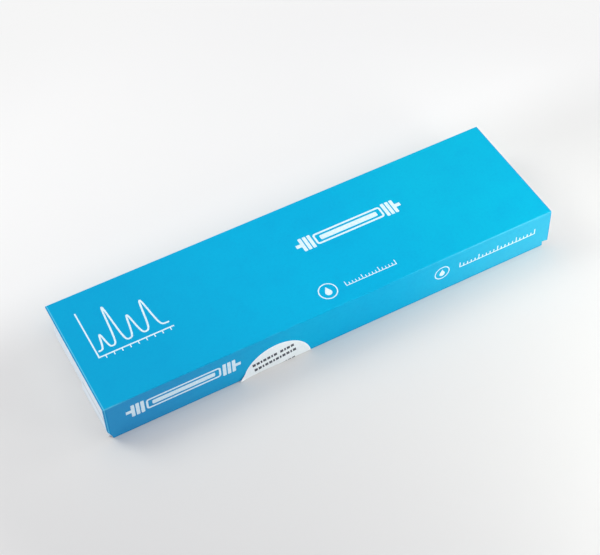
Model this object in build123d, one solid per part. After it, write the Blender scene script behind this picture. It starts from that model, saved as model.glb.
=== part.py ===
"""Long flat carton for a chromatography column, closed and sealed.

Three pieces: a board cover folded round the back, top and front, the white tray that it
closes, and a round paper seal creased round the cover's lower front edge.

Millimetres, +Z up, +X along the carton. The origin is on the resting plane, under the
middle of the whole closed carton, and the cover's front flap faces -Y.
"""
import os
from math import sqrt

from build123d import *

# The closed carton, outside
CARTON_LENGTH = 330.0
CARTON_DEPTH = 94.0  # front face of the flap to back face of the cover
CARTON_HEIGHT = 32.5  # resting plane to the cover's top

# Cover: one wrapped board with two long folds, glued to the back of the tray
COVER_BOARD = 2.0
COVER_FOLD_RADIUS = 0.9  # outside of the two long folds
COVER_RIM_RADIUS = 0.3  # where the printed paper turns over the board's outer edges
BACK_PANEL_SET_IN = 4.0  # the glued back panel is shorter than the top at each end

# Lower corners of the front flap: width of the step cut into each, at its inner height and
# at the flap's foot, and the cut's height at the cover's end and at the step's inner side
LEFT_STEP = 2.2
LEFT_STEP_AT_FOOT = 3.0
LEFT_STEP_OUTER_HEIGHT = 8.4
LEFT_STEP_INNER_HEIGHT = 3.5
RIGHT_STEP = 4.7
RIGHT_STEP_AT_FOOT = 4.4
RIGHT_STEP_OUTER_HEIGHT = 3.4
RIGHT_STEP_INNER_HEIGHT = 4.1

# Tray: folded from white board, with a corner flap glued over each end wall
TRAY_BOARD = 1.2
TRAY_FOLD_RADIUS = 1.0
TRAY_FRONT_GAP = 0.3  # between the front flap and the tray
CORNER_FLAP_RECESS = 0.8  # behind the cover's end
CORNER_FLAP_REACH = 42.0  # along the end wall, at its foot
CORNER_FLAP_TAPER = 3.0  # shorter by this at its top
CORNER_FLAP_DROP = 0.8  # its top below the tray's rim

# Seal: a round paper sticker
SEAL_DIAMETER = 50.0
SEAL_PAPER = 0.2
SEAL_FROM_LEFT_END = 119.4  # to its middle
SEAL_PAST_CREASE = 4.3  # from the crease to its middle, which is on the underside

# Places that follow from the sizes above
LEFT_END = -CARTON_LENGTH / 2
RIGHT_END = CARTON_LENGTH / 2
COVER_FRONT = -(CARTON_DEPTH - SEAL_PAPER) / 2
COVER_BACK = COVER_FRONT + CARTON_DEPTH
COVER_FOOT = SEAL_PAPER  # the seal passes under the flap's edge
TRAY_FRONT = COVER_FRONT + COVER_BOARD + TRAY_FRONT_GAP
TRAY_BACK = COVER_BACK - COVER_BOARD
TRAY_TOP = CARTON_HEIGHT - COVER_BOARD


def block(x_range, y_range, z_range):
    """A box given by its two limits along each axis."""
    low, high = zip(x_range, y_range, z_range)
    size = Vector(high) - Vector(low)
    return Pos(*low) * Box(*size, align=Align.MIN)


def step_cut(end, inwards, width, foot_width, outer_height, inner_height):
    """What is cut off one lower corner of the front flap."""
    margin = COVER_BOARD
    outside_end = end - inwards * margin
    outline = Polygon(
        (outside_end, COVER_FOOT - margin),
        (outside_end, COVER_FOOT + outer_height),
        (end, COVER_FOOT + outer_height),
        (end + inwards * width, COVER_FOOT + inner_height),
        (end + inwards * foot_width, COVER_FOOT),
        (end + inwards * foot_width, COVER_FOOT - margin),
    )
    behind_flap = COVER_FRONT + COVER_BOARD + TRAY_FRONT_GAP / 2
    face = Plane((0, behind_flap, 0), x_dir=(1, 0, 0), z_dir=(0, -1, 0)) * outline
    return extrude(face, COVER_BOARD + margin, dir=(0, -1, 0))


def make_cover():
    """Back panel, top panel and front flap, one board of even thickness."""
    cover = block((LEFT_END, RIGHT_END), (COVER_FRONT, COVER_BACK), (COVER_FOOT, CARTON_HEIGHT))
    foot_edges, fold_edges = cover.edges().filter_by(Axis.X).group_by(Axis.Z)
    cover = fillet(fold_edges, COVER_FOLD_RADIUS)
    end_edges = cover.faces().filter_by(Axis.X).edges()
    foot_edges = cover.edges().filter_by(Axis.X).group_by(Axis.Z)[0]
    cover = fillet(end_edges + foot_edges, COVER_RIM_RADIUS)
    cover -= block(
        (LEFT_END - COVER_BOARD, RIGHT_END + COVER_BOARD),
        (COVER_FRONT + COVER_BOARD, TRAY_BACK),
        (COVER_FOOT - COVER_BOARD, TRAY_TOP),
    )
    for end, inner_end in (
        (LEFT_END - COVER_BOARD, LEFT_END + BACK_PANEL_SET_IN),
        (RIGHT_END - BACK_PANEL_SET_IN, RIGHT_END + COVER_BOARD),
    ):
        cover -= block(
            (end, inner_end),
            (TRAY_BACK - COVER_BOARD, COVER_BACK + COVER_BOARD),
            (COVER_FOOT - COVER_BOARD, TRAY_TOP),
        )
    cover -= step_cut(
        LEFT_END,
        1,
        LEFT_STEP,
        LEFT_STEP_AT_FOOT,
        LEFT_STEP_OUTER_HEIGHT,
        LEFT_STEP_INNER_HEIGHT,
    )
    cover -= step_cut(
        RIGHT_END,
        -1,
        RIGHT_STEP,
        RIGHT_STEP_AT_FOOT,
        RIGHT_STEP_OUTER_HEIGHT,
        RIGHT_STEP_INNER_HEIGHT,
    )
    return cover


def make_tray(seal):
    """The sealed tray with what it holds, and the seat that the seal presses into its foot."""
    flap_end = CORNER_FLAP_RECESS
    wall_end = CORNER_FLAP_RECESS + TRAY_BOARD
    body = block(
        (LEFT_END + wall_end, RIGHT_END - wall_end), (TRAY_FRONT, TRAY_BACK), (0, TRAY_TOP)
    )
    foot_edges = body.edges().group_by(Axis.Z)[0]
    body = fillet(foot_edges, TRAY_FOLD_RADIUS)

    flap_top = TRAY_TOP - CORNER_FLAP_DROP
    flap_outline = Polygon(
        (TRAY_FRONT, 0),
        (TRAY_FRONT + CORNER_FLAP_REACH, 0),
        (TRAY_FRONT + CORNER_FLAP_REACH - CORNER_FLAP_TAPER, flap_top),
        (TRAY_FRONT, flap_top),
    )
    flaps = extrude(
        Plane.YZ.offset(LEFT_END + flap_end) * flap_outline, CARTON_LENGTH - 2 * flap_end
    )
    corner_folds = flaps.edges().filter_by(Axis.Z)
    front_foot = flaps.edges().filter_by(Axis.X).group_by(Axis.Z)[0].sort_by(Axis.Y)[0]
    flaps = fillet(corner_folds + [front_foot], TRAY_FOLD_RADIUS)
    return body + flaps - seal


def make_seal():
    """A paper disc creased along a chord: one leg up the flap, the other under the carton."""
    radius = SEAL_DIAMETER / 2
    middle = LEFT_END + SEAL_FROM_LEFT_END
    half_crease = sqrt(radius**2 - SEAL_PAST_CREASE**2)
    inner = COVER_RIM_RADIUS
    outer = inner + SEAL_PAPER
    bend_y = COVER_FRONT + inner
    bend_z = COVER_FOOT + inner

    disc = Circle(radius)
    upper = disc & Pos(0, SEAL_PAST_CREASE + radius) * Rectangle(SEAL_DIAMETER, SEAL_DIAMETER)
    lower = disc - upper
    front_plane = Plane((middle, COVER_FRONT, bend_z - SEAL_PAST_CREASE), (1, 0, 0), (0, -1, 0))
    under_plane = Plane((middle, bend_y + SEAL_PAST_CREASE, SEAL_PAPER), (1, 0, 0), (0, 0, -1))
    ring = Circle(outer) - Circle(inner)
    quarter = ring & Pos(-outer / 2, -outer / 2) * Rectangle(outer, outer)
    bend_plane = Plane((middle - half_crease, bend_y, bend_z), (0, 1, 0), (1, 0, 0))
    front_leg = extrude(front_plane * upper, SEAL_PAPER)
    under_leg = extrude(under_plane * lower, SEAL_PAPER)
    bend = extrude(bend_plane * quarter, 2 * half_crease)
    return front_leg + bend + under_leg


cover = make_cover()
seal = make_seal()
tray = make_tray(seal)

os.makedirs("parts", exist_ok=True)
export_step(cover, "parts/cover.step")
export_step(tray, "parts/tray.step")
export_step(seal, "parts/seal.step")
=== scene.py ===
"""Looks of a long flat carton for a chromatography column, closed and sealed.

Metres, +Z up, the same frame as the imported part: +X along the carton, the cover's front
flap faces -Y, and the carton stands on z = 0.
"""

from math import cos, exp, pi, radians, sin

import bmesh
import bpy
from mathutils import Euler, Matrix, Vector


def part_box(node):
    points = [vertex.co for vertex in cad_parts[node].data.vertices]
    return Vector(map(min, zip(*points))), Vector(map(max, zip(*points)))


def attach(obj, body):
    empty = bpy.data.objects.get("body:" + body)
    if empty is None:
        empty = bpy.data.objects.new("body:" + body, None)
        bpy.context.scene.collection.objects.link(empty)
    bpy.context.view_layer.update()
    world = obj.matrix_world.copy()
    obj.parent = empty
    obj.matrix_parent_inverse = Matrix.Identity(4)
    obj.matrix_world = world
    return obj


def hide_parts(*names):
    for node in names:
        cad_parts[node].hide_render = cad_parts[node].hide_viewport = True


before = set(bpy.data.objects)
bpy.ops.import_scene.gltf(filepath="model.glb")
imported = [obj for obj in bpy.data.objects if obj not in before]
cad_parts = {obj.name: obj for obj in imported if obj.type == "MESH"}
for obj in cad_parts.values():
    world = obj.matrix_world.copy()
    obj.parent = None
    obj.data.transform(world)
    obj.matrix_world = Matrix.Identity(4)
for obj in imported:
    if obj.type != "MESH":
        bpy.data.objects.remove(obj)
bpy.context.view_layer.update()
MM = 0.001


# ------------------------------------------------------------------------------------------
# Tray. A long open box folded from white bleached board, uncoated and slightly rough, with
# what it holds packed inside. Its front corner flaps fold round the ends and are glued over
# the end walls. Painted shade darkens each corner flap along a score line at mid height
# and towards its foot.
# ------------------------------------------------------------------------------------------
def card_colour(red, green, blue):
    """The linear colour of a 0 to 255 colour card value."""
    values = [v / 255 for v in (red, green, blue)]
    linear = [v / 12.92 if v <= 0.04045 else ((v + 0.055) / 1.055) ** 2.4 for v in values]
    return (*linear, 1)


class Look:
    """The nodes of a material or world. Each method adds a step and returns its result."""

    def __init__(self, owner):
        owner.use_nodes = True
        self.nodes = owner.node_tree.nodes
        self.link = owner.node_tree.links.new

    def fed(self, node, sockets, result):
        """A node's result, with its sockets set to values or linked to other results."""
        for socket in node.inputs:
            value = sockets.get(socket.identifier)
            if isinstance(value, bpy.types.NodeSocket):
                self.link(value, socket)
            elif value is not None:
                socket.default_value = value
        return next(s for s in node.outputs if s.identifier == result)

    def axes(self, vector):
        """The three parts of a place or a direction."""
        node = self.nodes.new("ShaderNodeSeparateXYZ")
        self.link(vector, node.inputs["Vector"])
        return node.outputs

    def distance(self, place, middle):
        node = self.nodes.new("ShaderNodeVectorMath")
        node.operation = "DISTANCE"
        return self.fed(node, {"Vector": place, "Vector_001": middle}, "Value")

    def mottle(self, place, grain, detail=3, roughness=0.5):
        """Cloudy noise of so many grains to the metre: one number, or one for each axis."""
        if isinstance(grain, tuple):
            mapping = self.nodes.new("ShaderNodeMapping")
            place = self.fed(mapping, {"Vector": place, "Scale": grain}, "Vector")
            grain = 1.0
        node = self.nodes.new("ShaderNodeTexNoise")
        sockets = {"Vector": place, "Scale": grain, "Detail": detail, "Roughness": roughness}
        return self.fed(node, sockets, "Fac")

    def fade(self, value, span, low=0.0, high=1.0):
        """low where value is at the span's start, high at its end, and smooth between."""
        node = self.nodes.new("ShaderNodeMapRange")
        node.interpolation_type = "SMOOTHSTEP"
        sockets = {"From Min": span[0], "From Max": span[1], "To Min": low, "To Max": high}
        return self.fed(node, {"Value": value, **sockets}, "Result")

    def band(self, value, span, soft):
        """1 inside the span, fading out over soft on both sides."""
        start, end = span
        rises = self.fade(value, (start - soft, start))
        return self.product(rises, self.fade(value, (end, end + soft), 1.0, 0.0))

    def maths(self, operation, first, *others):
        """first, taken with each of the others in turn."""
        for other in others:
            node = self.nodes.new("ShaderNodeMath")
            node.operation = operation
            first = self.fed(node, {"Value": first, "Value_001": other}, "Value")
        return first

    def product(self, *values):
        return self.maths("MULTIPLY", *values)

    def total(self, *values):
        return self.maths("ADD", *values)

    def most(self, *values):
        return self.maths("MAXIMUM", *values)

    def less(self, value, taken):
        return self.maths("SUBTRACT", value, taken)

    def size(self, value):
        """The value without its sign."""
        return self.maths("ABSOLUTE", value, 0.0)

    def tint(self, amount, under, over):
        """over laid on under, as thickly as amount says."""
        node = self.nodes.new("ShaderNodeMix")
        node.data_type = "RGBA"
        sockets = {"Factor_Float": amount, "A_Color": under, "B_Color": over}
        return self.fed(node, sockets, "Result_Color")

    def relief(self, height, depth, strength):
        node = self.nodes.new("ShaderNodeBump")
        sockets = {"Height": height, "Distance": depth, "Strength": strength}
        return self.fed(node, sockets, "Normal")


def new_finish(name):
    """A material, its look, its shader's sockets, and the object's own coordinates."""
    material = bpy.data.materials.new(name)
    look = Look(material)
    shader = look.nodes["Principled BSDF"].inputs
    place = look.nodes.new("ShaderNodeTexCoord").outputs["Object"]
    return material, look, shader, place


WHITE_BOARD = card_colour(241, 246, 249)
WHITE_BOARD_SHADE = card_colour(229, 236, 241)
BOARD_FLECK = card_colour(190, 188, 182)
# painted shade for the corner flaps, along the score line and towards the foot
BOARD_PAINTED_SHADE = card_colour(214, 220, 223)
BOARD_FIBRES = (260, 900, 900)
BOARD_CLOUDS = 90
BOARD_FLECKS = 1500
BOARD_SPECULAR = 0.3
BOARD_RELIEF = 0.3 * MM

tray_low, tray_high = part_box("tray")
TRAY_END = (tray_high.x - 1.0 * MM, tray_high.x - 0.4 * MM)
SCORE_LENGTH = (tray_low.y + 3.0 * MM, tray_low.y + 37.0 * MM)
SCORE_LENGTH_SOFT = 3.0 * MM
SCORE_HEIGHT = (12.6 * MM, 13.4 * MM)
SCORE_SOFT = 1.6 * MM
FOOT_SHADE = (0.5 * MM, 5.0 * MM)
FOOT_SHADE_MOST = 0.5

white_board, look, shader, place = new_finish("white_board")
along, across, up = look.axes(place)
fibres = look.mottle(place, BOARD_FIBRES, detail=5)
clouds = look.mottle(place, BOARD_CLOUDS, detail=2)
flecks = look.mottle(place, BOARD_FLECKS, detail=1)
board = look.tint(look.fade(clouds, (0.3, 0.7), 0.0, 0.45), WHITE_BOARD, WHITE_BOARD_SHADE)
board = look.tint(look.fade(fibres, (0.45, 0.75), 0.0, 0.4), board, WHITE_BOARD_SHADE)
board = look.tint(look.fade(flecks, (0.72, 0.80), 0.0, 0.35), board, BOARD_FLECK)

# painted shade: each corner flap darker along its score line and towards its foot; the score is also
# pressed in as a groove in the relief
on_end = look.fade(look.size(along), TRAY_END)
on_corner_flap = look.product(on_end, look.band(across, SCORE_LENGTH, SCORE_LENGTH_SOFT))
score = look.product(on_corner_flap, look.band(up, SCORE_HEIGHT, SCORE_SOFT))
by_foot = look.product(on_corner_flap, look.fade(up, FOOT_SHADE, FOOT_SHADE_MOST, 0.0))
board = look.tint(look.most(score, by_foot), board, BOARD_PAINTED_SHADE)

look.link(board, shader["Base Color"])
look.link(look.fade(fibres, (0.3, 0.7), 0.68, 0.86), shader["Roughness"])
shader["Specular IOR Level"].default_value = BOARD_SPECULAR
board_height = look.less(look.product(fibres, 0.2), score)
look.link(look.relief(board_height, BOARD_RELIEF, 0.6), shader["Normal"])
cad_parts["tray"].data.materials.clear()
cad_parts["tray"].data.materials.append(white_board)


# ------------------------------------------------------------------------------------------
# Cover. One stiff board wrapped in printed paper with a satin film, folded along two lines
# into the back panel, top and front flap, and glued to the tray's back. The paper is turned
# round the board's rims, which leaves a raised crest and a pressed line just inside them.
# Its colour adds painted highlights on the left crest and the top fold, painted shade along
# the rims, the foot and the faces towards the ends, painted shade with a pale reflection at
# the flap's left end, painted sheen at its right end, and a blue painted darker towards the
# left end and lighter towards the right.
# ------------------------------------------------------------------------------------------
cover_low, cover_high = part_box("cover")
# the print's blue along the carton, painted darker towards the left end and lighter towards the right,
# as painted shade and painted light
PRINT_BLUE_SHADED_LEFT = card_colour(3, 163, 208)
PRINT_BLUE_MIDDLE = card_colour(1, 174, 216)
PRINT_BLUE_LIT_RIGHT = card_colour(5, 179, 212)
LEFT_TO_MIDDLE = (-150 * MM, -10 * MM)
MIDDLE_TO_RIGHT = (10 * MM, 125 * MM)
# a darker blue: the print's random unevenness, and painted shade along the rims and the foot and on the
# faces towards the ends
MOTTLED_AND_SHADED_BLUE = card_colour(4, 144, 199)
# a lighter blue: painted highlight on the left crest and the top fold, broken by patches of wear
WORN_AND_HIGHLIGHT_BLUE = card_colour(112, 208, 232)
RAW_BOARD = card_colour(226, 229, 230)
FILM_SPECULAR = 0.06
FILM_RELIEF = 0.15 * MM

# grains to the metre of the ink's unevenness, the wear's patches and the cut board's plies
BROAD_CLOUDS = (14, 22, 22)
SMALL_CLOUDS = 85
FINE_GRAIN = 520
WEAR_PATCHES = 45
BOARD_PLIES = (900, 2600, 900)

# painted shade with a pale reflection on the flap's left end, painted sheen on its right end, and how
# much stronger the sheen is at the foot
FLAP_SHADE_AND_SHEEN_LEFT = card_colour(92, 104, 181)
SHADE_AND_SHEEN_LEFT_SPAN = (-150 * MM, -20 * MM)
SHADE_AND_SHEEN_LEFT_MOST = 0.26
FLAP_SHEEN_RIGHT = card_colour(150, 222, 236)
SHEEN_RIGHT_SPAN = (25 * MM, 172 * MM)
SHEEN_RIGHT_MOST = 0.115
SHEEN_RISE = (4 * MM, 27 * MM)
SHEEN_AT_FOOT = 1.2

# lines along the rims and folds, of painted shade or painted highlight: where each lies, how soft its
# sides are, how marked it is
LEFT_CREST = (0.65 * MM, 0.95 * MM)
LEFT_CREST_SOFT = 0.25 * MM
LEFT_CREST_HIGHLIGHT = 0.75
LEFT_RIM = (0.0, 0.25 * MM)
LEFT_RIM_SOFT = 0.2 * MM
LEFT_RIM_GROOVE_AND_SHADE = 0.9
RIGHT_RIM = (0.1 * MM, 0.8 * MM)
FRONT_RIM = (1.5 * MM, 1.9 * MM)
FOOT_LINE = (1.0 * MM, 1.35 * MM)
LINE_SOFT = 0.3 * MM
RIGHT_RIM_GROOVE_AND_SHADE = 0.45
FRONT_RIM_GROOVE_AND_SHADE = 0.7
FOOT_LINE_GROOVE_AND_SHADE = 0.6
TURNED_RIM_SHADE = 0.85
FOLD_HEIGHT = (cover_high.z - 0.95 * MM, cover_high.z - 0.55 * MM)
FOLD_DEPTH = (cover_low.y + 0.45 * MM, cover_low.y + 0.8 * MM)
FOLD_HIGHLIGHT_LEFT = (-162 * MM, -145 * MM)
FOLD_HIGHLIGHT_RIGHT = (30 * MM, 120 * MM)

# how far in from each end, and how far up, the flap's cut corners reach
CUT_LEFT_IN = (3.2 * MM, 3.5 * MM)
CUT_LEFT_UP = (8.7 * MM, 9.0 * MM)
CUT_RIGHT_IN = (4.9 * MM, 5.2 * MM)
CUT_RIGHT_UP = (4.4 * MM, 4.7 * MM)

printed_board, look, shader, place = new_finish("printed_board")
along, across, up = look.axes(place)
facing = look.nodes.new("ShaderNodeNewGeometry").outputs["Normal"]
facing_end, facing_front, _ = look.axes(facing)
on_front = look.fade(facing_front, (-0.60, -0.90))
from_left = look.less(along, cover_low.x)
from_right = look.less(cover_high.x, along)
broad = look.mottle(place, BROAD_CLOUDS, detail=2)
cloudy = look.mottle(place, SMALL_CLOUDS)
fine = look.mottle(place, FINE_GRAIN, detail=4, roughness=0.6)
patchy = look.mottle(place, WEAR_PATCHES, detail=4, roughness=0.6)

# painted shade towards the left end and painted light towards the right
blue = look.tint(look.fade(along, LEFT_TO_MIDDLE), PRINT_BLUE_SHADED_LEFT, PRINT_BLUE_MIDDLE)
blue = look.tint(look.fade(along, MIDDLE_TO_RIGHT), blue, PRINT_BLUE_LIT_RIGHT)
uneven = look.total(
    look.fade(broad, (0.3, 0.7), 0.0, 0.10),
    look.fade(cloudy, (0.4, 0.75), 0.0, 0.10),
    look.fade(fine, (0.4, 0.8), 0.0, 0.20),
)
blue = look.tint(uneven, blue, MOTTLED_AND_SHADED_BLUE)

# painted shade with a pale reflection on the flap's left end, and painted sheen on its right end,
# stronger near the foot
shade_and_sheen_left = look.product(on_front, look.fade(along, SHADE_AND_SHEEN_LEFT_SPAN, SHADE_AND_SHEEN_LEFT_MOST, 0.0))
sheen_right = look.product(
    on_front,
    look.fade(along, SHEEN_RIGHT_SPAN, 0.0, SHEEN_RIGHT_MOST),
    look.fade(up, SHEEN_RISE, SHEEN_AT_FOOT, 1.0),
)
blue = look.tint(shade_and_sheen_left, blue, FLAP_SHADE_AND_SHEEN_LEFT)
blue = look.tint(sheen_right, blue, FLAP_SHEEN_RIGHT)

# painted shade: darker lines along the rims, the foot and inside the flap's left rim, and darker faces
# towards the ends; the lines are also grooves in the relief
turned_rim = look.fade(look.size(facing_end), (0.45, 0.9))
pressed_and_shaded = look.most(
    look.product(look.band(from_right, RIGHT_RIM, LINE_SOFT), RIGHT_RIM_GROOVE_AND_SHADE),
    look.product(look.band(from_left, LEFT_RIM, LEFT_RIM_SOFT), LEFT_RIM_GROOVE_AND_SHADE),
    look.product(on_front, look.band(up, FOOT_LINE, LINE_SOFT), FOOT_LINE_GROOVE_AND_SHADE),
    look.product(on_front, look.band(from_left, FRONT_RIM, LINE_SOFT), FRONT_RIM_GROOVE_AND_SHADE),
    look.product(turned_rim, TURNED_RIM_SHADE),
)
blue = look.tint(pressed_and_shaded, blue, MOTTLED_AND_SHADED_BLUE)

# painted highlight: a lighter line on the left crest and along the top fold, broken by patches of wear
crest = look.band(from_left, LEFT_CREST, LEFT_CREST_SOFT)
crest_highlight_and_wear = look.product(crest, look.fade(patchy, (0.25, 0.6), 0.55, 1.0), LEFT_CREST_HIGHLIGHT)
fold = look.product(look.fade(up, FOLD_HEIGHT), look.fade(across, FOLD_DEPTH, 1.0, 0.0))
fold_highlight_and_wear = look.total(
    look.fade(along, FOLD_HIGHLIGHT_LEFT, 0.45, 0.0),
    look.fade(along, FOLD_HIGHLIGHT_RIGHT, 0.0, 0.30),
    look.fade(patchy, (0.5, 0.8), 0.0, 0.14),
)
blue = look.tint(look.most(crest_highlight_and_wear, look.product(fold, fold_highlight_and_wear)), blue, WORN_AND_HIGHLIGHT_BLUE)

cut_corners = look.most(
    look.product(look.fade(from_left, CUT_LEFT_IN, 1.0, 0.0), look.fade(up, CUT_LEFT_UP, 1.0, 0.0)),
    look.product(look.fade(from_right, CUT_RIGHT_IN, 1.0, 0.0), look.fade(up, CUT_RIGHT_UP, 1.0, 0.0)),
)
cut_side = look.fade(look.size(facing_front), (0.2, 0.5), 1.0, 0.0)
plies = look.fade(look.mottle(place, BOARD_PLIES), (0.3, 0.7), 0.85, 1.0)
cut_board = look.product(look.product(cut_corners, cut_side), plies)
look.link(look.tint(cut_board, blue, RAW_BOARD), shader["Base Color"])

look.link(look.fade(fine, (0.3, 0.7), 0.38, 0.48), shader["Roughness"])
shader["Specular IOR Level"].default_value = FILM_SPECULAR
raised = look.less(look.product(crest, 0.5), look.product(pressed_and_shaded, 0.5))
film_height = look.total(look.product(fine, 0.05), raised)
look.link(look.relief(film_height, FILM_RELIEF, 0.6), shader["Normal"])
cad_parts["cover"].data.materials.clear()
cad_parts["cover"].data.materials.append(printed_board)


# ------------------------------------------------------------------------------------------
# Print on the cover. Opaque white ink laid over the blue, in shapes only: a peak trace on its
# axes, a column drawn from the side with its end nuts and tubing, a ring with a drop in it,
# and a row of scale marks. Each lies on the board as a film a few hundredths of a mm thick.
# ------------------------------------------------------------------------------------------
INK_FILM = 0.05 * MM
INK_SUNK = 0.02 * MM
INK_SPECULAR = 0.3
INK_RELIEF = 0.01 * MM
WHITE_INK = card_colour(228, 242, 247)
WHITE_INK_THIN = card_colour(206, 232, 243)
INK_PORE = card_colour(178, 216, 236)
INK_GRAIN = 700
INK_PORES = 2600
# a face to print on: its corner, and its directions to the right and up
TOP_FACE = (Vector((cover_low.x, cover_low.y, cover_high.z)), Vector((1, 0, 0)), Vector((0, 1, 0)))
FRONT_FACE = (Vector((cover_low.x, cover_low.y, 0)), Vector((1, 0, 0)), Vector((0, 0, 1)))

white_ink, look, shader, place = new_finish("white_ink")
ink_grain = look.mottle(place, INK_GRAIN, detail=4, roughness=0.65)
ink_pores = look.fade(look.mottle(place, INK_PORES, detail=2), (0.66, 0.76), 0.0, 0.5)
ink_colour = look.tint(look.fade(ink_grain, (0.35, 0.7)), WHITE_INK, WHITE_INK_THIN)
look.link(look.tint(ink_pores, ink_colour, INK_PORE), shader["Base Color"])
look.link(look.fade(ink_grain, (0.3, 0.7), 0.34, 0.46), shader["Roughness"])
shader["Specular IOR Level"].default_value = INK_SPECULAR
look.link(look.relief(ink_grain, INK_RELIEF, 0.5), shader["Normal"])


def bar(shape, low, high):
    """A filled rectangle of ink between two corners, in mm."""
    made = bmesh.ops.create_grid(shape, x_segments=1, y_segments=1, size=0.5)["verts"]
    bmesh.ops.scale(shape, verts=made, vec=(high[0] - low[0], high[1] - low[1], 1))
    bmesh.ops.translate(shape, verts=made, vec=((low[0] + high[0]) / 2, (low[1] + high[1]) / 2, 0))
    return made


def round_bar(shape, low, high, corner):
    """A filled rectangle with round corners."""
    before = set(shape.faces)
    bmesh.ops.bevel(shape, geom=bar(shape, low, high), offset=corner, offset_type="OFFSET", segments=6,
                    profile=0.5, affect="VERTICES", material=-1)
    return max((f for f in shape.faces if f not in before), key=lambda f: len(f.verts))


def loop_line(shape, low, high, corner, line):
    """The outline of a rectangle with round corners."""
    face = round_bar(shape, low, high, corner)
    bmesh.ops.inset_individual(shape, faces=[face], thickness=line, use_even_offset=True)
    bmesh.ops.delete(shape, geom=[face], context="FACES")


def ring_line(shape, radius, line):
    """A ring of ink."""
    outer = bmesh.ops.create_circle(shape, segments=64, radius=radius)["verts"]
    inner = bmesh.ops.create_circle(shape, segments=64, radius=radius - line)["verts"]
    edges = {e for v in outer + inner for e in v.link_edges}
    bmesh.ops.bridge_loops(shape, edges=list(edges))


def brushed_line(shape, points, line):
    """A line of ink along points, as a round brush leaves it: a thin tube pressed flat."""
    stroke = bpy.data.curves.new("stroke", "CURVE")
    stroke.dimensions = "3D"
    stroke.bevel_depth = line / 2
    stroke.bevel_resolution = 3
    stroke.use_fill_caps = True
    spline = stroke.splines.new("POLY")
    spline.points.add(len(points) - 1)
    for point, (x, y) in zip(spline.points, points):
        point.co = (x, y, 0, 1)
    brush = bpy.data.objects.new("stroke", stroke)
    mesh = bpy.data.meshes.new_from_object(brush)
    before = set(shape.verts)
    shape.from_mesh(mesh)
    made = [v for v in shape.verts if v not in before]
    bmesh.ops.scale(shape, verts=made, vec=(1, 1, INK_FILM / MM / line))
    bpy.data.objects.remove(brush)
    bpy.data.curves.remove(stroke)
    bpy.data.meshes.remove(mesh)


def lay_ink(shape, name, face, middle):
    """Give flat shapes their film thickness and lay them on a face of the cover."""
    corner, right, up = face
    flat = [f for f in shape.faces if all(abs(v.co.z) < 1e-7 for v in f.verts)]
    if flat:
        shape.normal_update()
        bmesh.ops.reverse_faces(shape, faces=[f for f in flat if f.normal.z < 0])
        thick = bmesh.ops.solidify(shape, geom=flat, thickness=INK_FILM / MM)["geom"]
        faces = flat + [g for g in thick if isinstance(g, bmesh.types.BMFace)]
        verts = {v for f in faces for v in f.verts}
        middle_height = (min(v.co.z for v in verts) + max(v.co.z for v in verts)) / 2
        bmesh.ops.translate(shape, verts=list(verts), vec=(0, 0, -middle_height))
    bmesh.ops.scale(shape, verts=shape.verts, vec=(MM, MM, MM))
    out = right.cross(up)
    turn = Matrix((right, up, out)).transposed().to_4x4()
    origin = corner + right * middle[0] * MM + up * middle[1] * MM + out * (INK_FILM / 2 - INK_SUNK)
    bmesh.ops.transform(shape, matrix=Matrix.Translation(origin) @ turn, verts=shape.verts)
    bmesh.ops.recalc_face_normals(shape, faces=shape.faces[:])
    mesh = bpy.data.meshes.new(name)
    shape.to_mesh(mesh)
    shape.free()
    mesh.materials.append(white_ink)
    piece = bpy.data.objects.new(name, mesh)
    bpy.context.scene.collection.objects.link(piece)
    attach(piece, "root")


# the trace, in mm from its middle: each peak's place, height and width, then its line
PEAKS = ((-18.2, 12.0, 1.15), (-8.2, 32.0, 1.45), (3.4, 18.0, 1.6), (15.6, 25.0, 1.85))
TRACE_FOOT = -15.0
TRACE_START = -24.0
TRACE_STEP = 0.1
TRACE_POINTS = 493
TRACE_LINE = 1.3
TRACE_AXES = (((-26.0, -20.0), (26.5, -19.0)), ((-26.0, -19.0), (-25.0, 20.5)))
TICKS = 9
TICKS_APART = 5.6
FIRST_TICK = ((-21.5, -22.0), (-20.8, -20.0))
TRACE_MIDDLE = (39.8, 57.8)


def trace_height(x):
    """The height of the trace's line at x."""
    return TRACE_FOOT + sum(tall * exp(-((x - at) ** 2) / (2 * wide * wide)) for at, tall, wide in PEAKS)


shape = bmesh.new()
trace_places = [TRACE_START + TRACE_STEP * step for step in range(TRACE_POINTS)]
brushed_line(shape, [(x, trace_height(x)) for x in trace_places], TRACE_LINE)
for low, high in TRACE_AXES:
    bar(shape, low, high)
for tick in range(TICKS):
    low, high = ((x + TICKS_APART * tick, y) for x, y in FIRST_TICK)
    bar(shape, low, high)
lay_ink(shape, "print_top_trace", TOP_FACE, TRACE_MIDDLE)

# the column, in mm from its middle: half lengths, half heights, corner radii and lines
TUBE = (26.0, 4.9)
TUBE_CORNER = 2.2
TUBE_LINE = 1.4
BED = (21.8, 1.9)
BED_CORNER = 0.9
NUT_RIBS = (27.3, 30.6, 33.9)
RIB_LENGTH = 2.4
RIB_HALF_HEIGHT = 5.9
RIB_CORNER = 0.6
TUBING = (36.3, 40.0)
TUBING_HALF_HEIGHT = 1.4


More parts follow.
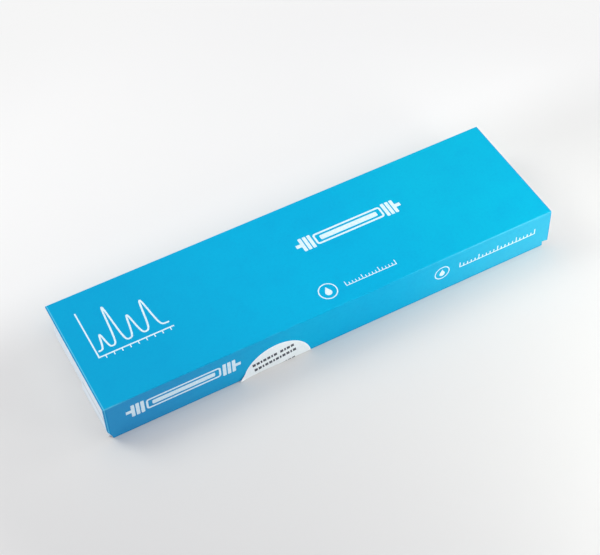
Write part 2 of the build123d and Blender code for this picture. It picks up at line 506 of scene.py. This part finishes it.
def draw_column(shape):
    """A column from the side: tube with its packed bed, two ribbed end nuts, and tubing."""
    loop_line(shape, (-TUBE[0], -TUBE[1]), TUBE, TUBE_CORNER, TUBE_LINE)
    round_bar(shape, (-BED[0], -BED[1]), BED, BED_CORNER)
    for side in (-1, 1):
        for rib in NUT_RIBS:
            low, high = sorted((side * rib, side * (rib + RIB_LENGTH)))
            round_bar(shape, (low, -RIB_HALF_HEIGHT), (high, RIB_HALF_HEIGHT), RIB_CORNER)
        low, high = sorted(side * end for end in TUBING)
        bar(shape, (low, -TUBING_HALF_HEIGHT), (high, TUBING_HALF_HEIGHT))


# the ring's line in mm, the drop's size and lowering as shares of the ring's radius, and
# how pointed the drop is
RING_LINE = 0.75
DROP_SIZE = 0.36
DROP_LOWERED = 0.16
DROP_POINTED = 0.75


def draw_drop(shape, radius):
    """A ring with a drop of liquid inside."""
    ring_line(shape, radius, RING_LINE)
    size = radius * DROP_SIZE
    drop = bmesh.ops.create_circle(shape, cap_ends=True, segments=48, radius=size)["verts"]
    for vert in drop:
        rise = max(vert.co.y, 0) / size
        vert.co.x *= 1 - DROP_POINTED * rise * rise
        vert.co.y = vert.co.y * (1 + rise) - radius * DROP_LOWERED


LONG_MARK_EVERY = 5
SHORT_MARK = 0.6


def draw_scale(shape, length, tall, marks, line):
    """Scale marks standing on a line, some full height and the others shorter."""
    bar(shape, (-length / 2, -tall / 2), (length / 2, -tall / 2 + line))
    for mark in range(marks):
        x = -length / 2 + (length - line) * mark / (marks - 1)
        reach = tall if mark % LONG_MARK_EVERY == 0 else tall * SHORT_MARK
        bar(shape, (x, -tall / 2 + line), (x + line, -tall / 2 + reach))


# name, how it is drawn, its face, its middle in mm from the face's corner, its own sizes
PRINTS = (
    ("print_top_column", draw_column, TOP_FACE, (205.0, 57.0), ()),
    ("print_front_column", draw_column, FRONT_FACE, (53.8, 19.2), ()),
    ("print_top_drop", draw_drop, TOP_FACE, (165.3, 14.2), (6.6,)),
    ("print_front_drop", draw_drop, FRONT_FACE, (244.0, 19.0), (5.8,)),
    ("print_top_scale", draw_scale, TOP_FACE, (197.0, 14.0), (38.0, 4.0, 16, 0.55)),
    ("print_front_scale", draw_scale, FRONT_FACE, (287.8, 19.0), (60.4, 5.0, 21, 0.75)),
)
for name, draw, face, middle, sizes in PRINTS:
    shape = bmesh.new()
    draw(shape, *sizes)
    lay_ink(shape, name, face, middle)


# ------------------------------------------------------------------------------------------
# Seal. A round sticker of coated white paper, stuck over the flap's lower edge and creased
# round it. Its left end has sprung a little off the edge. Dark blocks are printed on it.
# ------------------------------------------------------------------------------------------
SEAL_RADIUS = 25.0
SEAL_MIDDLE = -45.6
PAST_CREASE = 4.3
PAPER = 0.165
FLAP_FRONT = -46.9
FLAP_FOOT = 0.2
CREASE_INSIDE = 0.3
CREASE_TAKES = 0.6
CREASE_CUTS = 8
# the left end: how far it stands off and is pulled along, each over a reach that is
# shorter upwards
SPRUNG = 1.0
SPRUNG_REACH = 5.5
TAIL_PULLED = 2.6
TAIL_REACH = 4.5
SHORTER_UPWARDS = 1.4
# cuts across the paper each way: how many to each side, how far apart, and their offset
PAPER_CUTS = 12
PAPER_CUTS_APART = 2.05
PAPER_CUTS_OFFSET = 0.9
SHARP_FROM = radians(35)

SEAL_WHITE = card_colour(243, 245, 243)
SEAL_SHADE = card_colour(232, 235, 235)
# painted highlight: a whiter band just inside the sticker's rim
SEAL_RIM_HIGHLIGHT = card_colour(254, 255, 254)
SEAL_RIM_SPAN = ((SEAL_RADIUS - 1.1) * MM, (SEAL_RADIUS - 0.5) * MM)
SEAL_RIM_MOST = 0.8
SEAL_PULP = (500, 700, 700)
SEAL_WAVES = 110
SEAL_SPECULAR = 0.35
SEAL_RELIEF = 0.25 * MM

BLOCK_DARK = card_colour(52, 54, 64)
BLOCK_WORN = card_colour(132, 134, 142)
BLOCK_GRAIN = 2200
BLOCK_SUNK = 0.02
BLOCK_INK = 0.195
BLOCK_TALL = 2.5
BLOCK_GAP = 0.74
WIDE, SLIM, SPACE = 2.2, 1.2, 0.0
SPACE_TAKES = 1.0
ROW_TILT = radians(7.1)
# left end and middle height of a row, then the width of each of its blocks
SEAL_ROWS = (
    ((-17.7, 13.75), (WIDE, WIDE, SLIM, WIDE, WIDE, SLIM, WIDE, SPACE, WIDE, SLIM, WIDE, WIDE)),
    ((-16.5, 8.5), (WIDE, WIDE, SLIM, WIDE, WIDE, SLIM, WIDE, SLIM, WIDE, WIDE, SLIM, WIDE)),
    ((-12.4, 0.9), (WIDE, SLIM, WIDE, WIDE, SPACE, WIDE, WIDE, SLIM, WIDE, WIDE)),
    ((-9.0, -4.6), (WIDE, WIDE, SLIM, WIDE, SLIM)),
)


def creased(u, v, height):
    """A place on the flat sticker, in mm, carried round the flap's lower edge."""
    past = v - PAST_CREASE
    along = SEAL_MIDDLE + u
    turn = min(max(-past / CREASE_TAKES, 0.0), 1.0) * pi / 2
    reach = CREASE_INSIDE + height
    y = FLAP_FRONT + CREASE_INSIDE - reach * cos(turn)
    z = FLAP_FOOT + CREASE_INSIDE - reach * sin(turn) + max(past, 0.0)
    under = SEAL_RADIUS + PAST_CREASE
    y += max(-past - CREASE_TAKES, 0.0) * under / (under - CREASE_TAKES) if turn else 0.0
    corner = ((u + SEAL_RADIUS) ** 2 + (max(past, -CREASE_TAKES) * SHORTER_UPWARDS) ** 2) ** 0.5
    y -= SPRUNG * exp(-((corner / SPRUNG_REACH) ** 2)) * cos(turn)
    along -= TAIL_PULLED * exp(-((corner / TAIL_REACH) ** 2))
    return Vector((along * MM, y * MM, z * MM))


def cut_across(shape, place, normal):
    """Cut every face of a flat shape along one line."""
    everything = shape.verts[:] + shape.edges[:] + shape.faces[:]
    bmesh.ops.bisect_plane(shape, geom=everything, dist=1e-5, plane_co=place, plane_no=normal)


def crease_lines(shape):
    """Cut a flat shape finely where it will turn round the edge."""
    for cut in range(CREASE_CUTS + 1):
        cut_across(shape, (0, PAST_CREASE - CREASE_TAKES * cut / CREASE_CUTS, 0), (0, 1, 0))


def fold_paper(shape, low, high, name, material):
    """Fold a flat shape as a sheet between two heights off the flap."""
    bmesh.ops.triangulate(shape, faces=shape.faces[:])
    bmesh.ops.solidify(shape, geom=shape.faces[:], thickness=1.0)
    lowest = min(v.co.z for v in shape.verts)
    for vert in shape.verts:
        vert.co = creased(vert.co.x, vert.co.y, low + (high - low) * (vert.co.z - lowest))
    bmesh.ops.recalc_face_normals(shape, faces=shape.faces[:])
    mesh = bpy.data.meshes.new(name)
    shape.to_mesh(mesh)
    shape.free()
    mesh.materials.append(material)
    mesh.shade_smooth()
    mesh.set_sharp_from_angle(angle=SHARP_FROM)
    piece = bpy.data.objects.new(name, mesh)
    bpy.context.scene.collection.objects.link(piece)
    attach(piece, "root")
    return piece


seal_paper, look, shader, place = new_finish("seal_paper")
pulp = look.mottle(place, SEAL_PULP, detail=4)
waves = look.mottle(place, SEAL_WAVES, detail=2)
paper = look.tint(look.fade(pulp, (0.4, 0.75), 0.0, 0.7), SEAL_WHITE, SEAL_SHADE)
paper = look.tint(look.fade(waves, (0.4, 0.8), 0.0, 0.4), paper, SEAL_SHADE)
disc_middle = (SEAL_MIDDLE * MM, FLAP_FRONT * MM, (FLAP_FOOT + CREASE_INSIDE - PAST_CREASE) * MM)
# painted highlight along the sticker's rim
rim_highlight = look.fade(look.distance(place, disc_middle), SEAL_RIM_SPAN, 0.0, SEAL_RIM_MOST)
look.link(look.tint(rim_highlight, paper, SEAL_RIM_HIGHLIGHT), shader["Base Color"])
look.link(look.fade(pulp, (0.3, 0.7), 0.44, 0.58), shader["Roughness"])
shader["Specular IOR Level"].default_value = SEAL_SPECULAR
paper_height = look.total(waves, look.product(pulp, 0.25))
look.link(look.relief(paper_height, SEAL_RELIEF, 0.35), shader["Normal"])

block_ink, look, shader, place = new_finish("block_ink")
speckle = look.mottle(place, BLOCK_GRAIN)
look.link(look.tint(look.fade(speckle, (0.5, 0.78)), BLOCK_DARK, BLOCK_WORN), shader["Base Color"])
look.link(look.fade(speckle, (0.3, 0.7), 0.42, 0.6), shader["Roughness"])

shape = bmesh.new()
bmesh.ops.create_circle(shape, cap_ends=True, segments=144, radius=SEAL_RADIUS)
crease_lines(shape)
for cut in range(-PAPER_CUTS, PAPER_CUTS):
    for normal in ((1, 0, 0), (0, 1, 0)):
        cut_across(shape, [c * (PAPER_CUTS_APART * cut + PAPER_CUTS_OFFSET) for c in normal], normal)
sticker = fold_paper(shape, 0.0, PAPER, "seal_sticker", seal_paper)
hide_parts("seal")

tilt = Matrix.Rotation(ROW_TILT, 3, "Z")
shape = bmesh.new()
for start, blocks in SEAL_ROWS:
    left = 0.0
    for width in blocks:
        if width:
            block = bar(shape, (left, -BLOCK_TALL / 2), (left + width, BLOCK_TALL / 2))
            bmesh.ops.rotate(shape, verts=block, cent=(0, 0, 0), matrix=tilt)
            bmesh.ops.translate(shape, verts=block, vec=(*start, 0))
        left += (width or SPACE_TAKES) + BLOCK_GAP
crease_lines(shape)
fold_paper(shape, PAPER - BLOCK_SUNK, BLOCK_INK, "seal_blocks", block_ink)


# ------------------------------------------------------------------------------------------
# Stage. A pale tabletop that runs into the white of the room, soft lamps and the camera.
# None of it is part of the carton.
# ------------------------------------------------------------------------------------------
TABLE_HALF = 3.0
TABLE_WHITE = card_colour(240, 241, 242)
TABLE_SEEN = card_colour(218, 214, 211)
TABLE_ROUGHNESS = 0.7
BLACK = (0, 0, 0, 1)
WHITE = (1, 1, 1, 1)
# the seen table's own glow, which grows towards the back, and where it turns into the room
TABLE_GLOW = 0.06
TABLE_GLOW_BEHIND = 0.225
GLOW_GROWS = (0.03, 0.105)
TABLE_ENDS = (0.24, 0.36)
ROOM_WHITE = 0.92
ROOM_LIGHT = 0.414
ROOM_LIGHT_COLOUR = (0.82, 0.82, 1.0, 1)


def seen(look):
    """1 for what the camera sees, straight, mirrored or through glass, and 0 for light."""
    path = look.nodes.new("ShaderNodeLightPath").outputs
    return look.most(path["Is Camera Ray"], path["Is Glossy Ray"], path["Is Transmission Ray"])


shape = bmesh.new()
bmesh.ops.create_grid(shape, x_segments=1, y_segments=1, size=TABLE_HALF)
table_mesh = bpy.data.meshes.new("tabletop")
shape.to_mesh(table_mesh)
shape.free()
tabletop = bpy.data.objects.new("tabletop", table_mesh)
bpy.context.scene.collection.objects.link(tabletop)

tabletop_finish, look, shader, place = new_finish("tabletop_finish")
table_seen = seen(look)
far = look.product(look.fade(look.distance(place, (0, 0, 0)), TABLE_ENDS), table_seen)
near_colour = look.tint(table_seen, TABLE_WHITE, TABLE_SEEN)
look.link(look.tint(far, near_colour, BLACK), shader["Base Color"])
glow = look.fade(look.axes(place)["Y"], GLOW_GROWS, TABLE_GLOW, TABLE_GLOW_BEHIND)
to_room = look.product(far, look.less(ROOM_WHITE, glow))
look.link(look.product(table_seen, look.total(glow, to_room)), shader["Emission Strength"])
shader["Emission Color"].default_value = WHITE
shader["Roughness"].default_value = TABLE_ROUGHNESS
shader["Specular IOR Level"].default_value = 0.0
table_mesh.materials.append(tabletop_finish)

LAMP_WHITE = (0.94, 1.0, 0.95)
LAMPS_AIM = Vector((0.08, 0, 0))
# name, place, size, power
LAMPS = (
    ("overhead", (0.0, 0.05, 0.90), 1.00, 2.73),
    ("high_right", (0.90, -0.10, 0.80), 0.60, 0.88),
    ("near_right", (0.30, -0.10, 0.22), 0.20, 0.265),
    ("low_front_right", (0.25, -0.40, 0.12), 0.25, 0.91),
    ("high_back_left", (-0.60, 0.50, 0.70), 0.50, 4.15),
    ("high_back", (0.0, 0.70, 0.70), 0.90, 0.62),
)
for name, lamp_place, size, power in LAMPS:
    lamp = bpy.data.lights.new(name, "AREA")
    lamp.shape = "DISK"
    lamp.size = size
    lamp.energy = power
    lamp.color = LAMP_WHITE
    holder = bpy.data.objects.new(name, lamp)
    holder.location = lamp_place
    holder.rotation_euler = (LAMPS_AIM - Vector(lamp_place)).to_track_quat("-Z", "Y").to_euler()
    holder.visible_camera = False
    bpy.context.scene.collection.objects.link(holder)

world = bpy.data.worlds.new("room")
bpy.context.scene.world = world
look = Look(world)
room_seen = seen(look)
background = look.nodes["Background"].inputs
look.link(look.tint(room_seen, ROOM_LIGHT_COLOUR, WHITE), background["Color"])
room_strength = look.total(ROOM_LIGHT, look.product(room_seen, ROOM_WHITE - ROOM_LIGHT))
look.link(room_strength, background["Strength"])

CAMERA_PLACE = (-0.28448, -0.56507, 0.77760)
CAMERA_TURN = -26.4615
CAMERA_DOWN = 50.4189
CAMERA_ROLL = -2.4729
CAMERA_LENS = 88.795
camera_data = bpy.data.cameras.new("camera")
camera_data.lens = CAMERA_LENS
camera = bpy.data.objects.new("camera", camera_data)
turn = Euler((radians(90 - CAMERA_DOWN), 0, radians(CAMERA_TURN))).to_matrix()
camera.rotation_euler = (turn @ Matrix.Rotation(radians(CAMERA_ROLL), 3, "Z")).to_euler()
camera.location = CAMERA_PLACE
bpy.context.scene.collection.objects.link(camera)
bpy.context.scene.camera = camera
bpy.context.scene.view_settings.view_transform = "Standard"
